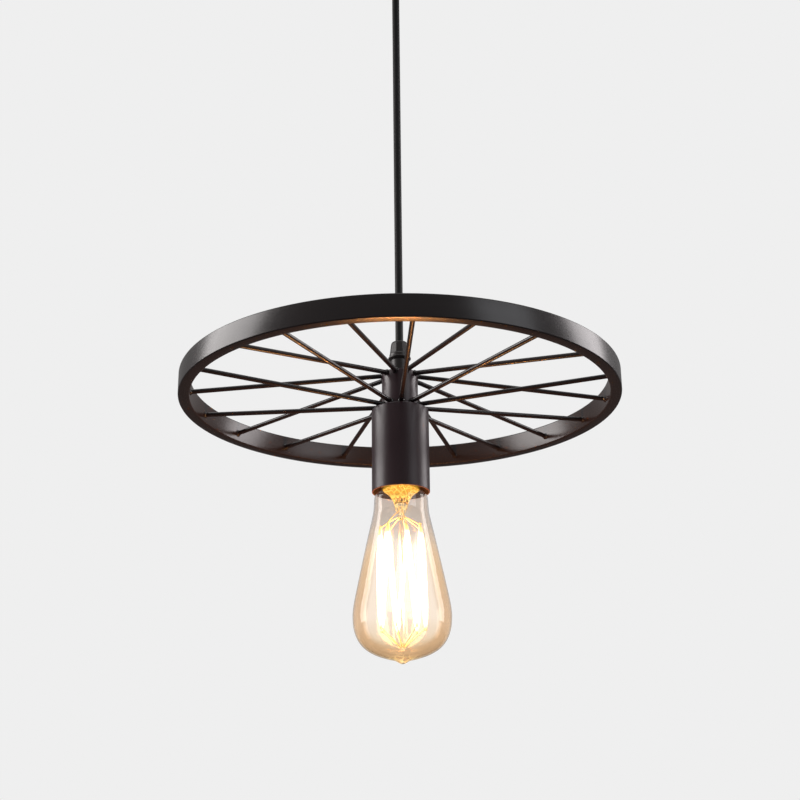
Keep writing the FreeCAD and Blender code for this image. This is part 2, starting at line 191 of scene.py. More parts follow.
def plastic_material(name, col_lo, col_hi, r_lo, r_hi, scale=300, bump=0.25):
    m = Mat(name)
    fine = m.noise(scale, 3.0, 0.5)
    broad = m.noise(scale / 12, 3.0, 0.5)
    m.link(m.ramp(broad, [(0.3, col_lo), (0.7, col_hi)]), m.p.inputs["Base Color"])
    m.rough_range(fine, r_lo, r_hi)
    m.bump((fine, 0.00003, bump))
    return m.m


COAT = coat_material("coat_black_brown", (0.0125, 0.0085, 0.0088), (0.0165, 0.0112, 0.0116), 0.22, 0.29)
COAT_CUP = coat_material("coat_cup", (0.0310, 0.0140, 0.0185), (0.0360, 0.0160, 0.0210), 0.32, 0.39)
COAT_WELD = coat_material("coat_over_weld", (0.0110, 0.0080, 0.0080), (0.0160, 0.0115, 0.0115), 0.18, 0.30, 2.2)
COAT_GRIP = coat_material("coat_grip", (0.0190, 0.0150, 0.0140), (0.0240, 0.0190, 0.0180), 0.34, 0.44)
# painted shade: a darker, duller copy of the coat for the inside of the cup, standing in for the shade in it
COAT_IN_PAINTED_SHADE = coat_material("coat_inside_painted_shade", (0.0060, 0.0035, 0.0030), (0.0085, 0.0050, 0.0045), 0.50, 0.60)
COAT_IN_PAINTED_SHADE.node_tree.nodes["Principled BSDF"].inputs["Specular IOR Level"].default_value = 0.25
# level faces take a copy of the coat with no specular, its base a little lighter as a painted sheen in place of the
# gloss
COAT_MATT_PAINTED_SHEEN = coat_material("coat_matt_painted_sheen", (0.0165, 0.0118, 0.0120), (0.0225, 0.0162, 0.0165), 0.60, 0.70)
COAT_MATT_PAINTED_SHEEN.node_tree.nodes["Principled BSDF"].inputs["Specular IOR Level"].default_value = 0.0
ZINC = metal_material("zinc_plate", (0.29, 0.305, 0.33), (0.46, 0.47, 0.49), 0.30, 0.46)
NICKEL = metal_material("nickel_plate", (0.62, 0.58, 0.52), (0.72, 0.68, 0.62), 0.18, 0.30)
BRASS = metal_material("brass", (0.72, 0.50, 0.20), (0.80, 0.60, 0.28), 0.22, 0.36)
CAP_BRASS = metal_material("cap_brass", (0.74, 0.56, 0.28), (0.82, 0.66, 0.38), 0.20, 0.32)
SOLDER = metal_material("solder", (0.45, 0.45, 0.46), (0.60, 0.60, 0.61), 0.30, 0.50, (300, 300, 300), 0.6)
PHENOLIC = plastic_material("phenolic", (0.012, 0.010, 0.009), (0.020, 0.017, 0.015), 0.30, 0.42)
BLOCK = plastic_material("block_plastic", (0.74, 0.72, 0.66), (0.80, 0.79, 0.74), 0.40, 0.52)
RUBBER = plastic_material("insert_rubber", (0.014, 0.014, 0.014), (0.022, 0.022, 0.022), 0.60, 0.75, 500)
BROWN = plastic_material("lead_brown", (0.10, 0.035, 0.015), (0.13, 0.05, 0.02), 0.38, 0.50)
BLUE = plastic_material("lead_blue", (0.015, 0.08, 0.34), (0.02, 0.10, 0.40), 0.38, 0.50)
CEMENT = plastic_material("cement", (0.50, 0.36, 0.20), (0.62, 0.47, 0.29), 0.75, 0.90, 800, 0.8)
VITRITE = plastic_material("vitrite", (0.008, 0.008, 0.010), (0.014, 0.014, 0.016), 0.12, 0.22, 200, 0.15)


def earth_material():
    """Green and yellow insulation, in lengthwise bands."""
    m = Mat("lead_green_yellow")
    w = m.new("ShaderNodeTexWave")
    w.wave_type = "BANDS"
    w.bands_direction = "DIAGONAL"
    w.inputs["Scale"].default_value = 190
    w.inputs["Distortion"].default_value = 0.6
    m.link(m.coords(), w.inputs["Vector"])
    m.link(m.ramp(w.outputs["Fac"], [(0.44, (0.03, 0.22, 0.03)), (0.52, (0.75, 0.60, 0.04))]), m.p.inputs["Base Color"])
    m.rough_range(m.noise(300), 0.38, 0.5)
    return m.m


GREEN = earth_material()


def cord_material():
    """Black jacket: a dull skin with faint lengthwise drag lines and specks."""
    m = Mat("cord_jacket")
    lines = m.noise(1.0, 3.0, 0.6, stretch=(1600, 1600, 14))
    fine = m.noise(1400, 2.0, 0.5)
    broad = m.noise(30, 3.0, 0.5)
    m.link(m.ramp(broad, [(0.3, (0.0100, 0.0098, 0.0098)), (0.7, (0.0150, 0.0145, 0.0145))]), m.p.inputs["Base Color"])
    m.rough_range(fine, 0.52, 0.64)
    m.bump((lines, 0.00004, 0.35), (fine, 0.00002, 0.3))
    m.set(Specular_IOR_Level=0.28)
    return m.m


CORD = cord_material()


def height_of(m):
    """0 at the bulb's tip to 1 at the top of its neck."""
    t = m.new("ShaderNodeTexCoord")
    x = m.new("ShaderNodeSeparateXYZ")
    m.link(t.outputs["Object"], x.inputs[0])
    r = m.new("ShaderNodeMapRange")
    r.inputs["From Min"].default_value = W - 0.185
    r.inputs["From Max"].default_value = W - 0.055
    m.link(x.outputs["Z"], r.inputs["Value"])
    return r.outputs["Result"]


def mixed(m, fac, a, b, blend="MIX"):
    n = m.new("ShaderNodeMix", data_type="RGBA", blend_type=blend)
    for value, socket in ((fac, n.inputs[0]), (a, n.inputs[6]), (b, n.inputs[7])):
        if hasattr(value, "is_output"):
            m.link(value, socket)
        elif isinstance(value, tuple):
            socket.default_value = (*value, 1.0)
        else:
            socket.default_value = value
    return n.outputs[2]


def bulb_glass_material():
    """Thin coated glass: nearly clear face on, amber where it is seen along its skin, with the filament's light in it
    painted on as a warm emitted glow, and emitted glints painted at the tip.
    """
    m = Mat("bulb_glass")
    m.set(Roughness=0.0, IOR=1.47, Transmission_Weight=1.0, Specular_IOR_Level=0.22, Emission_Strength=1.0)
    h = height_of(m)
    face_on = m.ramp(h, [(0.04, (0.86, 0.74, 0.56)), (0.20, (0.97, 0.92, 0.86)), (0.60, (0.98, 0.94, 0.90)), (0.74, (0.84, 0.77, 0.71)), (1.0, (0.80, 0.72, 0.67))])
    along = m.ramp(h, [(0.10, (0.74, 0.55, 0.38)), (0.27, (0.70, 0.52, 0.37)), (0.42, (0.73, 0.54, 0.36)), (0.55, (0.76, 0.58, 0.41)), (0.74, (0.82, 0.74, 0.68)), (1.0, (0.80, 0.72, 0.66))])
    lw = m.new("ShaderNodeLayerWeight")
    lw.inputs["Blend"].default_value = 0.5
    skin = m.new("ShaderNodeMapRange")
    skin.interpolation_type = "SMOOTHSTEP"
    skin.inputs["From Min"].default_value = 0.26
    skin.inputs["From Max"].default_value = 0.44
    m.link(lw.outputs["Facing"], skin.inputs["Value"])
    m.link(mixed(m, skin.outputs["Result"], face_on, along), m.p.inputs["Base Color"])
    # painted glow: emission by height standing in for the filament's light held in the glass
    painted_glow_veil = m.ramp(h, [(0.0, (0.026, 0.016, 0.006)), (0.14, (0.044, 0.027, 0.012)), (0.56, (0.050, 0.031, 0.013)), (0.70, (0.0, 0.0, 0.0))])
    v = m.new("ShaderNodeTexVoronoi", feature="DISTANCE_TO_EDGE")
    v.inputs["Scale"].default_value = 240.0
    m.link(m.coords(), v.inputs["Vector"])
    # painted glints: an emitted net of golden glints, kept to the tip by the mask below
    painted_glint_lace = m.ramp(v.outputs["Distance"], [(0.03, (0.42, 0.30, 0.12)), (0.12, (0.0, 0.0, 0.0))])
    tip = m.ramp(h, [(0.020, (1.0, 1.0, 1.0)), (0.045, (0.0, 0.0, 0.0))])
    m.link(mixed(m, 1.0, painted_glow_veil, mixed(m, 1.0, painted_glint_lace, tip, "MULTIPLY"), "ADD"), m.p.inputs["Emission Color"])
    wavy = m.noise(28, 2.0, 0.5, stretch=(1, 1, 0.35))
    m.bump((wavy, 0.0004, 0.02))
    m.m.cycles.emission_sampling = "NONE"
    return m.m


def stem_glass_material():
    """Pressed glass with the filament's light painted on it as emitted golden glints, and a base tinted gold towards
    the flare as a painted warm cast of that light. The low IOR stands for the hollow of the real flare.
    """
    m = Mat("stem_glass")
    m.set(Roughness=0.02, IOR=1.10, Transmission_Weight=1.0, Emission_Strength=1.0)
    h = height_of(m)
    v = m.new("ShaderNodeTexVoronoi", feature="DISTANCE_TO_EDGE")
    v.inputs["Scale"].default_value = 330.0
    m.link(m.coords((1, 1, 0.6)), v.inputs["Vector"])
    # painted glints: an emitted net of golden glints, placed by height with the mask below
    painted_glint_lace = m.ramp(v.outputs["Distance"], [(0.05, (1.0, 0.68, 0.20)), (0.12, (0.03, 0.018, 0.004))])
    where = m.ramp(h, [(0.05, (0.5, 0.5, 0.5)), (0.12, (0.05, 0.05, 0.05)), (0.73, (0.05, 0.05, 0.05)), (0.77, (0.50, 0.50, 0.50)), (0.90, (0.75, 0.75, 0.75))])
    m.link(mixed(m, 1.0, painted_glint_lace, where, "MULTIPLY"), m.p.inputs["Emission Color"])
    # painted warm light: the base turns gold towards the flare
    m.link(m.ramp(h, [(0.6, (0.97, 0.95, 0.90)), (0.8, (0.94, 0.86, 0.68))]), m.p.inputs["Base Color"])
    m.bump((m.noise(90, 3.0, 0.5), 0.0004, 0.4))
    m.m.cycles.emission_sampling = "NONE"
    return m.m


def lit_material(name, lo, hi, base, strength, scale=500, rough=0.45):
    """A surface close to the filament, bright with its light."""
    m = Mat(name)
    n = m.noise(scale, 3.0, 0.6)
    m.link(m.ramp(n, [(0.3, lo), (0.7, hi)]), m.p.inputs["Emission Color"])
    m.link(m.ramp(n, [(0.3, tuple(c * 0.8 for c in base)), (0.7, base)]), m.p.inputs["Base Color"])
    m.bump((n, 0.0002, 0.3))
    m.set(Roughness=rough, Emission_Strength=strength)
    m.m.cycles.emission_sampling = "NONE"
    return m.m


GLASS = bulb_glass_material()
STEM_GLASS = stem_glass_material()
FLARE_LIT = lit_material("stem_flare_lit", (0.88, 0.53, 0.030), (0.98, 0.64, 0.060), (0.03, 0.018, 0.003), 0.72)
CEMENT_LIT = lit_material("cement_lit", (0.80, 0.40, 0.03), (0.95, 0.55, 0.06), (0.10, 0.06, 0.02), 0.5, 700, 0.8)


def glow_material(name):
    """A hot filament: white hot along its middle, yellow and cooler towards the hooks."""
    m = Mat(name)
    h = height_of(m)
    fine = m.noise(700, 2.0, 0.5)
    heat = m.ramp(h, [(0.175, (0.10, 0.068, 0.020)), (0.23, (1.0, 0.80, 0.46)), (0.62, (1.0, 0.82, 0.50)), (0.66, (0.22, 0.15, 0.045)), (0.695, (0.05, 0.033, 0.009))])
    m.link(mixed(m, 1.0, heat, m.ramp(fine, [(0.2, (0.8, 0.8, 0.8)), (0.8, (1.0, 1.0, 1.0))]), "MULTIPLY"), m.p.inputs["Emission Color"])
    m.set(Base_Color=(0.9, 0.6, 0.3, 1), Roughness=0.5, Emission_Strength=8.0)
    m.m.cycles.emission_sampling = "NONE"
    return m.m


FILAMENT = glow_material("filament_glow")


def wire_material():
    """Support wires, with the warm light of the filament beside them painted on as an emission."""
    m = Mat("support_wire")
    n = m.noise(500, 2.0, 0.5)
    m.link(m.ramp(n, [(0.3, (0.42, 0.26, 0.10)), (0.7, (0.62, 0.42, 0.18))]), m.p.inputs["Base Color"])
    # painted light: the filament's warm light on the wires, as emission
    m.link(m.ramp(n, [(0.3, (1.0, 0.60, 0.22)), (0.7, (1.0, 0.74, 0.36))]), m.p.inputs["Emission Color"])
    m.set(Metallic=1.0, Roughness=0.35, Emission_Strength=0.70)
    m.m.cycles.emission_sampling = "NONE"
    return m.m


WIRE = wire_material()


# ------------------------------------------------------------ mesh builders
def make(name, verts, faces, mats, smooth=True, sharp=None, face_mats=None):
    me = bpy.data.meshes.new(name)
    me.from_pydata([tuple(v) for v in verts], [], faces)
    me.validate()
    me.update()
    for m in mats if isinstance(mats, (list, tuple)) else [mats]:
        me.materials.append(m)
    if face_mats is not None:
        me.polygons.foreach_set("material_index", face_mats)
    if smooth:
        me.polygons.foreach_set("use_smooth", [True] * len(me.polygons))
        if sharp is not None:
            me.set_sharp_from_angle(angle=math.radians(sharp))
    o = bpy.data.objects.new(name, me)
    scene.collection.objects.link(o)
    return o


def lathe(name, profile, mats, segs=128, shift=W, closed=True, sharp=32, shape=None, face_mat=None):
    """Turns a profile of (radius, height) points in mm. Points on the axis become one vertex. shape(r, z, angle) may move a point."""
    verts, rows = [], []
    for r, z in profile:
        if abs(r) < 1e-6:
            verts.append((0, 0, z * MM + shift))
            rows.append([len(verts) - 1] * segs)
        else:
            row = []
            for k in range(segs):
                a = 2 * math.pi * k / segs
                rr, zz = (r, z) if shape is None else shape(r, z, a)
                verts.append((rr * MM * math.cos(a), rr * MM * math.sin(a), zz * MM + shift))
                row.append(len(verts) - 1)
            rows.append(row)
    faces, fm = [], []
    n = len(rows)
    for i in range(n if closed else n - 1):
        a, b = rows[i], rows[(i + 1) % n]
        if a[0] == a[-1] and b[0] == b[-1]:
            continue
        for k in range(segs):
            k2 = (k + 1) % segs
            if a[0] == a[-1]:
                f = (a[0], b[k2], b[k])
            elif b[0] == b[-1]:
                f = (a[k], a[k2], b[0])
            else:
                f = (a[k], a[k2], b[k2], b[k])
            faces.append(f)
            fm.append(face_mat(i) if face_mat else 0)
    o = make(name, verts, faces, mats, sharp=sharp, face_mats=fm if face_mat else None)
    fix_normals(o)
    return o


def fix_normals(o):
    import bmesh
    bm = bmesh.new()
    bm.from_mesh(o.data)
    bmesh.ops.recalc_face_normals(bm, faces=bm.faces)
    bm.to_mesh(o.data)
    bm.free()


def rounded(points, radius=0.3, steps=4, closed=True):
    """Rounds the corners of a polyline of (r, z). A point may be (r, z, radius)."""
    out = []
    n = len(points)
    for i, item in enumerate(points):
        p = np.array(item[:2], float)
        rad = item[2] if len(item) > 2 else radius
        if not closed and i in (0, n - 1) or rad <= 0:
            out.append(tuple(p))
            continue
        a, b = np.array(points[i - 1][:2], float), np.array(points[(i + 1) % n][:2], float)
        u, v = a - p, b - p
        lu, lv = np.linalg.norm(u), np.linalg.norm(v)
        u, v = u / lu, v / lv
        half = math.acos(max(-1, min(1, float(u @ v)))) / 2
        if half > math.pi / 2 - 0.02:
            out.append(tuple(p))
            continue
        cut = min(rad / math.tan(half), 0.45 * lu, 0.45 * lv)
        rr = cut * math.tan(half)
        bis = (u + v) / np.linalg.norm(u + v)
        c = p + bis * (rr / math.sin(half))
        s, e = p + u * cut, p + v * cut
        for k in range(steps + 1):
            t = k / steps
            d = (s - c) * (1 - t) + (e - c) * t
            out.append(tuple(c + d / np.linalg.norm(d) * rr))
    return out


def frame_of(direction):
    d = np.array(direction, float)
    d = d / np.linalg.norm(d)
    side = np.cross(d, (0, 0, 1)) if abs(d[2]) < 0.9 else np.cross(d, (1, 0, 0))
    side = side / np.linalg.norm(side)
    return d, side, np.cross(side, d)


def sweep_into(verts, faces, points, radii, segs=12, caps=True):
    """Adds a tube through points, in metres, to verts and faces."""
    pts = np.array(points, float)
    if np.isscalar(radii):
        radii = [radii] * len(pts)
    tang = np.gradient(pts, axis=0)
    d, side, upv = frame_of(tang[0])
    start = len(verts)
    for i, p in enumerate(pts):
        t = tang[i] / np.linalg.norm(tang[i])
        side = side - t * (side @ t)
        side = side / np.linalg.norm(side)
        upv = np.cross(t, side)
        for k in range(segs):
            a = 2 * math.pi * k / segs
            verts.append(tuple(p + (side * math.cos(a) + upv * math.sin(a)) * radii[i]))
    for i in range(len(pts) - 1):
        for k in range(segs):
            k2 = (k + 1) % segs
            a, b = start + i * segs, start + (i + 1) * segs
            faces.append((a + k, a + k2, b + k2, b + k))
    if caps:
        faces.append(tuple(start + k for k in reversed(range(segs))))
        e = start + (len(pts) - 1) * segs
        faces.append(tuple(e + k for k in range(segs)))


def around(deg, r, z):
    a = math.radians(deg)
    return np.array((r * math.sin(a) * MM, -r * math.cos(a) * MM, z * MM + W))


def spline(points, n):
    """A smooth Catmull-Rom curve through (r, z) points, n steps per span."""
    p = np.array(points, float)
    ext = np.vstack([2 * p[0] - p[1], p, 2 * p[-1] - p[-2]])
    out = []
    for i in range(1, len(ext) - 2):
        p0, p1, p2, p3 = ext[i - 1], ext[i], ext[i + 1], ext[i + 2]
        for k in range(n):
            t = k / n
            out.append(0.5 * ((2 * p1) + (-p0 + p2) * t + (2 * p0 - 5 * p1 + 4 * p2 - p3) * t ** 2 + (-p0 + 3 * p1 - 3 * p2 + p3) * t ** 3))
    out.append(p[-1])
    return [tuple(q) for q in out]


def finish_piece(o, body, slot, *nodes):
    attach(o, body)
    if nodes:
        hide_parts(*nodes)
    return o


# --------------------------------------------------------------------- cord
cord_curve = bpy.data.curves.new("pendant_cord_jacket", "CURVE")
cord_curve.dimensions = "3D"
cord_curve.bevel_depth = 0.0027
cord_curve.bevel_resolution = 10
cord_curve.resolution_u = 24
cord_curve.use_fill_caps = True
sp = cord_curve.splines.new("NURBS")
cord_route = [(0, 0, -0.0390), (0, 0, -0.0945), (0, 0, -0.150), (0, 0, -0.2055), (0, 0, -0.261), (0, 0, -0.3165), (0, 0, -0.3718)]
sp.points.add(len(cord_route) - 1)
for pnt, q in zip(sp.points, cord_route):
    pnt.co = (*q, 1.0)
sp.order_u = 3
sp.use_endpoint_u = True
cord_curve.materials.append(CORD)
cord_obj = bpy.data.objects.new("pendant_cord_jacket", cord_curve)
scene.collection.objects.link(cord_obj)
finish_piece(cord_obj, "cord", "cord", "pendant_cord")

# ---------------------------------------------------------------------- rim
h, ro, ri = RIM_H / 2, RIM_R, RIM_R - RIM_T
rim_points = rounded([(ri, -h, 0.8), (ro, -h, 0.8), (ro, h, 0.8), (ri, h, 0.8)], steps=4)
# the rim's top face takes the matt coat, whose lighter base is a painted sheen
rim = lathe("wheel_rim", rim_points, [COAT, COAT_MATT_PAINTED_SHEEN], segs=384, sharp=60,
            face_mat=lambda i: 1 if rim_points[i][1] + rim_points[(i + 1) % len(rim_points)][1] > 2 * h - 0.5 else 0)
finish_piece(rim, "lamp", "black_coat", "rim")


# ------------------------------------------------------------------- spokes
def spoke_ends(a, zh):
    return around(a, HUB_R - 0.2, zh), around(a, RIM_R - RIM_T + 0.2, -1.4)


def build_spokes(name, angles, zh, node):
    verts, faces = [], []
    for a in angles:
        p0, p1 = spoke_ends(a, zh)
        pts = [p0 + (p1 - p0) * t for t in np.linspace(0, 1, 9)]
        sweep_into(verts, faces, pts, SPOKE_R * MM, 24)
    o = make(name, verts, faces, COAT, sharp=40)
    fix_normals(o)
    return finish_piece(o, "lamp", "black_coat", node)


build_spokes("spokes_upper_tier", UPPER, 12.4, "upper_spokes")
build_spokes("spokes_lower_tier", LOWER, -9.2, "lower_spokes")


def bead_into(verts, faces, base, out, size, seed):
    """An uneven weld fillet round a spoke: base is on the wall, out points along the spoke."""
    r = random.Random(seed)
    d, side, upv = frame_of(out)
    segs, start = 28, len(verts)
    ph = [r.uniform(0, 6.28) for _ in range(4)]
    prof = [(1.00, -0.35), (1.00, 0.10), (0.93, 0.42), (0.80, 0.72), (0.69, 1.02), (0.63, 1.38), (0.585, 1.75), (0.50, 1.80)]
    for f, z in prof:
        for k in range(segs):
            a = 2 * math.pi * k / segs
            wob = 1 + 0.07 * math.sin(2 * a + ph[0]) + 0.05 * math.sin(3 * a + ph[1]) + 0.035 * math.sin(7 * a + ph[2] + z)
            rr = size * (f * wob if f > 0.6 else f)
            zz = z * (1 + 0.16 * math.sin(a + ph[3]) + 0.08 * math.sin(4 * a + ph[1])) if z > 0.2 else z
            verts.append(tuple(base + (side * math.cos(a) + upv * math.sin(a)) * rr * MM + d * zz * MM))
    for i in range(len(prof) - 1):
        for k in range(segs):
            k2 = (k + 1) % segs
            a, b = start + i * segs, start + (i + 1) * segs
            faces.append((a + k, a + k2, b + k2, b + k))
    faces.append(tuple(start + k for k in reversed(range(segs))))
    e = start + (len(prof) - 1) * segs
    faces.append(tuple(e + k for k in range(segs)))


vr, fr, vh, fh = [], [], [], []
for i, (a, zh) in enumerate([(a, 12.4) for a in UPPER] + [(a, -9.2) for a in LOWER]):
    p0, p1 = around(a, HUB_R, zh), around(a, RIM_R - RIM_T, -1.4)
    d = (p1 - p0) / np.linalg.norm(p1 - p0)
    bead_into(vr, fr, p1, -d, rng.uniform(2.35, 2.75), 100 + i)
    bead_into(vh, fh, p0 - d * 0.15 * MM, d, rng.uniform(2.15, 2.4), 200 + i)
o = make("welds_at_rim", vr, fr, COAT_WELD, sharp=60)
fix_normals(o)
finish_piece(o, "lamp", "black_coat", "rim_weld_beads")
o = make("welds_at_hub", vh, fh, COAT_WELD, sharp=60)
fix_normals(o)
finish_piece(o, "lamp", "black_coat", "hub_weld_beads")

# ---------------------------------------------------------------------- hub
hub = lathe("hub_sleeve", rounded([(HUB_R - 1.4, HUB_BOTTOM, 0.1), (HUB_R, HUB_BOTTOM, 0.3), (HUB_R, HUB_TOP, 0.5), (HUB_R - 1.4, HUB_TOP, 0.1)], steps=3),
            COAT_CUP, segs=96, sharp=50)
finish_piece(hub, "lamp", "black_coat", "hub_tube")
disc = lathe("hub_top_plate", rounded([(5.1, HUB_TOP - 2.0, 0.1), (HUB_R - 1.4, HUB_TOP - 2.0, 0.1), (HUB_R - 1.4, HUB_TOP - 0.25, 0.4), (5.1, HUB_TOP - 0.25, 0.1)], steps=3),
             COAT, segs=96, sharp=50)
finish_piece(disc, "lamp", "black_coat", "hub_top_disc")

# --------------------------------------------------------------------- grip
grip = lathe("grip_base", rounded([
    (5.03, HUB_TOP, 0.05), (5.9, HUB_TOP, 0.2), (5.9, 23.7, 0.4), (7.3, 24.55, 0.2), (7.8, 25.1, 0.25), (7.8, 25.7, 0.2), (7.4, 26.1, 0.1),
    (4.9, 26.1, 0.05), (4.9, 33.0, 0.2), (4.1, 33.0, 0.1), (3.9, 26.0, 0.05), (2.95, 24.6, 0.05), (2.95, 23.4, 0.05), (4.0, 22.2, 0.05), (5.03, 22.2, 0.05)], steps=3),
    COAT_GRIP, segs=96, sharp=40)
finish_piece(grip, "lamp", "black_grip", "grip_body")


def ten_sided(r, z, a):
    """Flats on the tapered part of the cap, fading out at its rim and its top."""
    if r < 4.7 or z < 27.6:
        return r, z
    fade = max(0.0, min(1.0, (z - 27.8) / 0.8)) * max(0.0, min(1.0, (37.1 - z) / 1.2))
    sector = math.pi / 5
    local = (a % sector) - sector / 2
    apothem = math.cos(sector / 2) / math.cos(local)
    flat = min(1.0, apothem * 1.012)
    return r * (1 - fade + fade * flat), z


cap_profile = rounded([(7.0, 26.15, 0.25), (7.0, 28.0, 0.4), (6.7, 28.7, 0.3), (5.85, 35.6, 0.6), (5.45, 36.9, 0.9), (4.4, 37.5, 0.6), (2.95, 37.5, 0.25),
                       (2.95, 36.2, 0.2), (4.9, 34.8, 0.1), (4.92, 26.15, 0.05)], steps=4)
dense = []
for i, p in enumerate(cap_profile):
    q = cap_profile[(i + 1) % len(cap_profile)]
    dense.append(p)
    if math.hypot(q[0] - p[0], q[1] - p[1]) > 2.5:
        dense += [(p[0] + (q[0] - p[0]) * t, p[1] + (q[1] - p[1]) * t) for t in np.linspace(0, 1, 8)[1:-1]]
cap = lathe("grip_compression_cap", dense, COAT_GRIP, segs=200, sharp=24, shape=ten_sided)
finish_piece(cap, "lamp", "black_grip", "grip_cap")

# ---------------------------------------------------------------------- cup
# the cup's inner faces take the darker inside coat, which is painted shade
cup = lathe("lampholder_cup", rounded([
    (5.1, HUB_BOTTOM - 0.02, 0.05), (CUP_R, HUB_BOTTOM - 0.02, 1.2), (CUP_R, CUP_BOTTOM, 0.35), (CUP_R - 1.0, CUP_BOTTOM, 0.35),
    (CUP_R - 1.0, HUB_BOTTOM - 1.2, 0.6), (5.1, HUB_BOTTOM - 1.2, 0.05)], steps=6), [COAT_CUP, COAT_IN_PAINTED_SHADE], segs=160, sharp=50,
    face_mat=lambda i: 1 if i >= 21 else 0)
finish_piece(cup, "lamp", "black_coat", "cup")

# --------------------------------------------------------------- lampholder
holder = lathe("lampholder_moulding", rounded([
    (0, -31.0, 0), (16.5, -31.0, 0.4), (16.5, -63.0, 0.9), (14.9, -63.0, 0.3), (14.0, -62.1, 0.2), (14.0, -35.6, 0.2), (0, -35.6, 0)], steps=4, closed=False),
    PHENOLIC, segs=128, sharp=40)
finish_piece(holder, "lamp", "phenolic", "lampholder_body")

PITCH = 3.629


def thread_shape(z0, z1, amp, phase):
    def shape(r, z, a):
        f = max(0.0, min(1.0, (z - z0) / 1.6)) * max(0.0, min(1.0, (z1 - z) / 1.6))
        s = math.cos(2 * math.pi * (z / PITCH - a / (2 * math.pi)) + phase)
        return r + amp * f * s, z
    return shape


prof = [(13.50, -61.6)] + [(13.50, z) for z in np.linspace(-61.3, -36.6, 90)] + [(13.3, -36.05), (9.9, -36.0), (9.9, -35.62), (13.4, -35.62)] + \
    [(13.62, z) for z in np.linspace(-36.4, -61.3, 90)] + [(13.75, -61.6)]
shell = lathe("lampholder_thread", prof, NICKEL, segs=96, sharp=50, shape=thread_shape(-61.4, -38.5, 0.26, 0.0))
finish_piece(shell, "lamp", "nickel", "lampholder_screw_shell")

# ------------------------------------------------------------- bulb: cap end
prof = [(12.95, -65.98), (13.15, -65.7), (13.15, -63.6), (12.9, -63.1)] + [(12.72, z) for z in np.linspace(-62.7, -46.4, 84)] + \
    [(12.45, -45.4), (11.6, -44.5), (9.35, -44.0), (9.35, -44.5), (11.3, -44.95)] + [(12.22, z) for z in np.linspace(-46.6, -62.5, 60)] + \
    [(12.5, -63.2), (12.75, -63.6), (12.75, -65.8)]
cap_shell = lathe("bulb_screw_cap", prof, CAP_BRASS, segs=96, sharp=50, shape=thread_shape(-62.6, -46.4, 0.26, 0.0))
finish_piece(cap_shell, "bulb", "bulb_brass", "bulb_cap")
ins = lathe("bulb_insulating_glass", rounded([(0, -41.25, 0), (5.6, -41.25, 0.4), (9.3, -44.0, 0.3), (9.3, -45.1, 0.2), (0, -45.1, 0)], steps=4, closed=False),
            VITRITE, segs=64, sharp=50)
finish_piece(ins, "bulb", "bulb_black_glass", "bulb_insulator")


def solder_bump(r, z, a):
    return r * (1 + 0.03 * math.sin(3 * a + 1) + 0.02 * math.sin(5 * a)), z + (0.12 * math.sin(2 * a + r) - 0.12) * (1 if z > -41 else 0)


tip = lathe("bulb_solder_contact", [(0, -41.2), (4.7, -41.2), (4.7, -40.7), (4.3, -40.1), (3.5, -39.55), (2.4, -39.2), (1.2, -39.1), (0, -39.08)], SOLDER,
            segs=48, closed=False, sharp=60, shape=solder_bump)
finish_piece(tip, "bulb_seat", "solder", "bulb_contact")
cement = lathe("bulb_capping_cement", rounded([(12.0, -57.5), (12.4, -57.5), (12.4, -62.7), (12.65, -63.3), (12.65, -65.7), (12.35, -65.9), (12.0, -63.0)], 0.1, 2),
               CEMENT_LIT, segs=96, sharp=50, shape=lambda r, z, a: (r, z + (0.12 * math.sin(9 * a) - 0.12 * abs(math.sin(4 * a)) if z < -65 else 0)))
finish_piece(cement, "bulb", "cement", "bulb_cement")

# --------------------------------------------------------------- bulb: glass
OUTER = [(11.8, -56.0), (11.85, -62.0), (12.3, -66.4), (14.2, -68.4), (16.5, -71.0), (17.75, -74.5), (18.05, -80.0),
         (18.95, -87.0), (22.5, -103.0), (26.9, -123.5), (30.95, -143.0), (31.95, -150.0), (32.1, -155.0),
         (31.4, -161.5), (29.1, -168.0), (24.9, -173.4), (18.6, -177.4), (11.2, -180.1), (5.7, -181.6),
         (3.2, -182.8), (1.6, -183.75), (0.0, -184.05)]
outer = spline(OUTER, 5)
inner = []
for i in range(len(outer) - 1):
    a, b = np.array(outer[max(0, i - 1)]), np.array(outer[i + 1])
    t = (b - a) / np.linalg.norm(b - a)
    nrm = np.array((t[1], -t[0]))
    s = i / len(outer)
    wall = 0.72 + 0.35 * s ** 5
    q = np.array(outer[i]) + nrm * wall
    if outer[i][0] > 7.5:
        inner.append(tuple(q))
end = inner[-1]
inner += [(end[0] * 0.72, end[1] - 0.35), (end[0] * 0.48, end[1] - 0.95), (2.2, end[1] - 2.0), (1.2, end[1] - 2.9), (0.0, end[1] - 3.2)]
inner[-1] = (0.0, max(inner[-1][1], -182.6))
glass_profile = outer + list(reversed(inner))


def blown(r, z, a):
    """Mouth-blown unevenness of a few hundredths of a millimetre."""
    f = max(0.0, min(1.0, (-70 - z) / 30))
    return r + f * (0.05 * math.sin(2 * a + z * 0.05) + 0.03 * math.sin(3 * a + 1.3 + z * 0.09)) * min(1.0, r / 10), z


glass = lathe("bulb_envelope", glass_profile, GLASS, segs=144, closed=True, sharp=None, shape=blown)
glass.visible_shadow = False
finish_piece(glass, "bulb", "bulb_glass", "bulb_glass")

